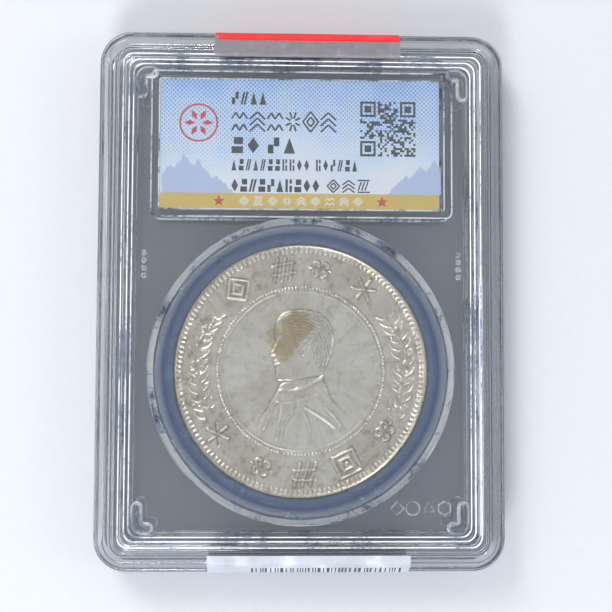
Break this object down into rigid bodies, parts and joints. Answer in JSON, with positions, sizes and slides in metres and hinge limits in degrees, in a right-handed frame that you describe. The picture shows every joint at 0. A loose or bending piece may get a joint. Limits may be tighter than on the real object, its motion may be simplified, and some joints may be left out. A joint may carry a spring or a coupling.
{
  "type": "graded coin slab",
  "caption": "Flat clear plastic case welded round a large silver coin in a soft clear ring, with a printed card in a frame above it and a paper seal folded over each end.",
  "frame": {"origin": "middle of the plane that the back rim rests on", "axes": "+Z out of the front face, +Y towards the end with the card, +X to the right of a reader"},
  "size_m": [0.0626, 0.083, 0.0083],
  "materials": {
    "clear_polystyrene": "polished clear moulding",
    "clear_soft_ring": "clear soft elastomer with a blue cast",
    "coin_silver": "worn struck silver",
    "printed_card": "offset print on coated card",
    "seal_film": "thin matt film, printed red over the edge",
    "barcode_label": "coated white label paper"
  },
  "bodies": {
    "case": {"front_shell": "clear_polystyrene", "back_shell": "clear_polystyrene", "coin_ring": "clear_soft_ring", "top_seal": "seal_film", "barcode_seal": "barcode_label"},
    "coin": {"coin": "coin_silver"},
    "label": {"label_card": "printed_card"}
  },
  "joints": [
    {"name": "coin_turn", "type": "hinge", "parent": "case", "child": "coin", "pos_m": [0, -0.011, 0.0041], "axis": [0, 0, 1], "continuous": true},
    {"name": "label_slide", "type": "slide", "parent": "case", "child": "label", "axis": [1, 0, 0], "range_m": [-0.0002, 0.0008]}
  ]
}
